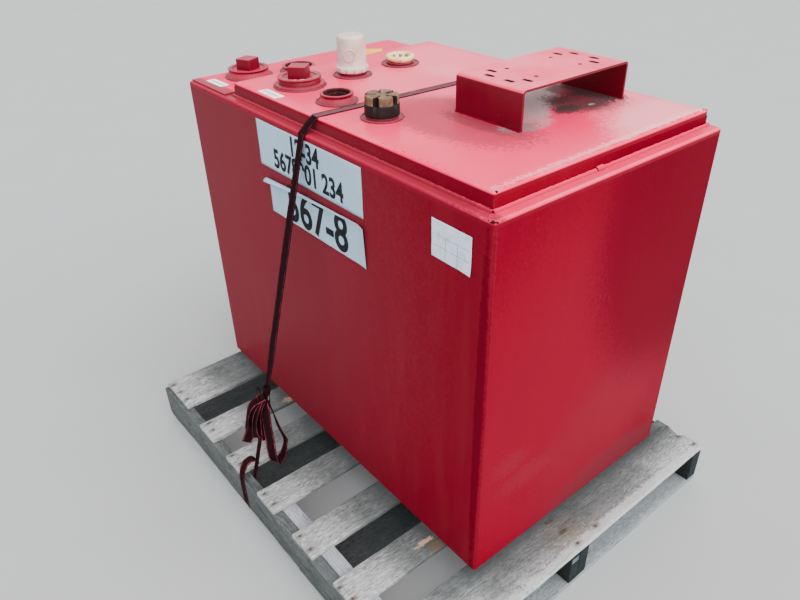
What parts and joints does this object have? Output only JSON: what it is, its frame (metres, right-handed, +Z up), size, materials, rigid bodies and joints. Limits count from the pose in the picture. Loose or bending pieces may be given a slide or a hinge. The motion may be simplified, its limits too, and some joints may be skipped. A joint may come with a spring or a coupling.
{
  "type": "double-wall steel oil tank on a timber pallet skid",
  "caption": "Rectangular double-wall steel oil storage tank with top bungs, plugs, vent cap and pump bracket, strapped down to a timber pallet skid.",
  "frame": {"origin": "middle of the whole footprint on the ground, under the pallet", "axes": "+X along the tank's length away from the ledge end, -Y out of the long face with the signs, +Z up"},
  "size_m": [1.2516, 1.0265, 1.133],
  "materials": {
    "red_paint": "gloss",
    "bare_steel": "rusty matt",
    "white_plastic": "satin",
    "cream_plastic": "satin",
    "black_plastic": "matt",
    "webbing": "woven",
    "timber": "weathered, bare",
    "sign_vinyl": "satin",
    "paper": "matt"
  },
  "bodies": {
    "root": {"deck_board_1": "timber", "deck_board_2": "timber", "deck_board_3": "timber", "deck_board_4": "timber", "deck_board_5": "timber", "deck_board_6": "timber", "deck_board_7": "timber", "bottom_board_1": "timber", "bottom_board_2": "timber", "bottom_board_3": "timber", "bottom_board_4": "timber", "stringer_front": "timber", "stringer_front_companion": "timber", "stringer_middle": "timber", "stringer_middle_companion": "timber", "stringer_back": "timber", "outer_bottom": "red_paint", "front_wall": "red_paint", "back_wall": "red_paint", "left_end_wall": "red_paint", "right_end_wall": "red_paint", "outer_lid": "red_paint", "ledge_cover_plate": "red_paint", "primary_front_wall": "red_paint", "primary_back_wall": "red_paint", "primary_left_wall": "red_paint", "primary_right_wall": "red_paint", "primary_top": "red_paint", "ledge_vent_flange": "red_paint", "ledge_vent_plug": "red_paint", "ledge_open_flange": "red_paint", "fill_flange": "red_paint", "fill_plug": "red_paint", "vent_cap_flange": "red_paint", "protector_flange": "red_paint", "lobed_cap_flange": "red_paint", "pump_bracket": "red_paint", "primary_floor": "bare_steel", "open_flange": "bare_steel", "vent_cap": "white_plastic", "thread_protector": "cream_plastic", "lobed_cap": "black_plastic", "strap_top": "webbing", "strap_front": "webbing", "strap_back": "webbing", "strap_front_loop": "webbing", "strap_back_loop": "webbing", "strap_knot": "webbing", "strap_hank": "webbing", "upper_sign": "sign_vinyl", "lower_sign": "sign_vinyl", "paper_tag": "paper"}
  },
  "joints": []
}
